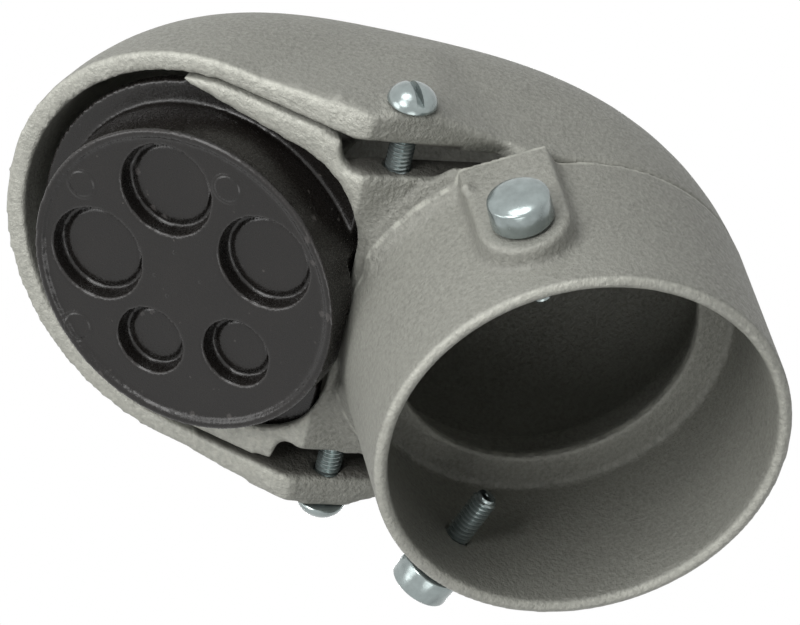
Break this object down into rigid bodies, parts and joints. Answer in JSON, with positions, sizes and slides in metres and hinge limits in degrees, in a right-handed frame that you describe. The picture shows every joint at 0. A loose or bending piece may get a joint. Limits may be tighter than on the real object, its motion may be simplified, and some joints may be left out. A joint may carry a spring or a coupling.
{
  "type": "service entrance weatherhead",
  "caption": "Cast aluminium service entrance cap: round set-screw conduit hub, hood opening forward and down, black insulating disc with wire knockouts, and side screws.",
  "frame": {"origin": "centre of the conduit hub's open end, on the hub's axis", "axes": "+Z along the conduit's axis, from the hub's mouth up into the hood; -Y is the way the wire opening faces; X = 0 is the mirror plane"},
  "size_m": [0.0852, 0.1163, 0.0898],
  "materials": {
    "body_casting": "sand-cast, as cast, ground rim",
    "hood_casting": "sand-cast, as cast, ground lip",
    "insulator_plastic": "moulded, fine grain",
    "screw_zinc": "bright zinc plate"
  },
  "bodies": {
    "head": {"hub_body": "body_casting", "hood": "hood_casting", "insulator": "insulator_plastic"},
    "right_hood_screw": {"hood_screw_right": "screw_zinc"},
    "left_hood_screw": {"hood_screw_left": "screw_zinc"},
    "right_set_screw": {"set_screw_right": "screw_zinc"},
    "left_set_screw": {"set_screw_left": "screw_zinc"}
  },
  "joints": [
    {"name": "right_hood_screw_out", "type": "slide", "parent": "head", "child": "right_hood_screw", "axis": [1, 0, 0], "range_m": [0, 0.0099]},
    {"name": "left_hood_screw_out", "type": "slide", "parent": "head", "child": "left_hood_screw", "axis": [-1, 0, 0], "range_m": [0, 0.0099]},
    {"name": "right_set_screw_out", "type": "slide", "parent": "head", "child": "right_set_screw", "axis": [0.9219, -0.3875, 0], "range_m": [0, 0.0102]},
    {"name": "left_set_screw_out", "type": "slide", "parent": "head", "child": "left_set_screw", "axis": [-0.9219, -0.3875, 0], "range_m": [0, 0.0087]}
  ]
}
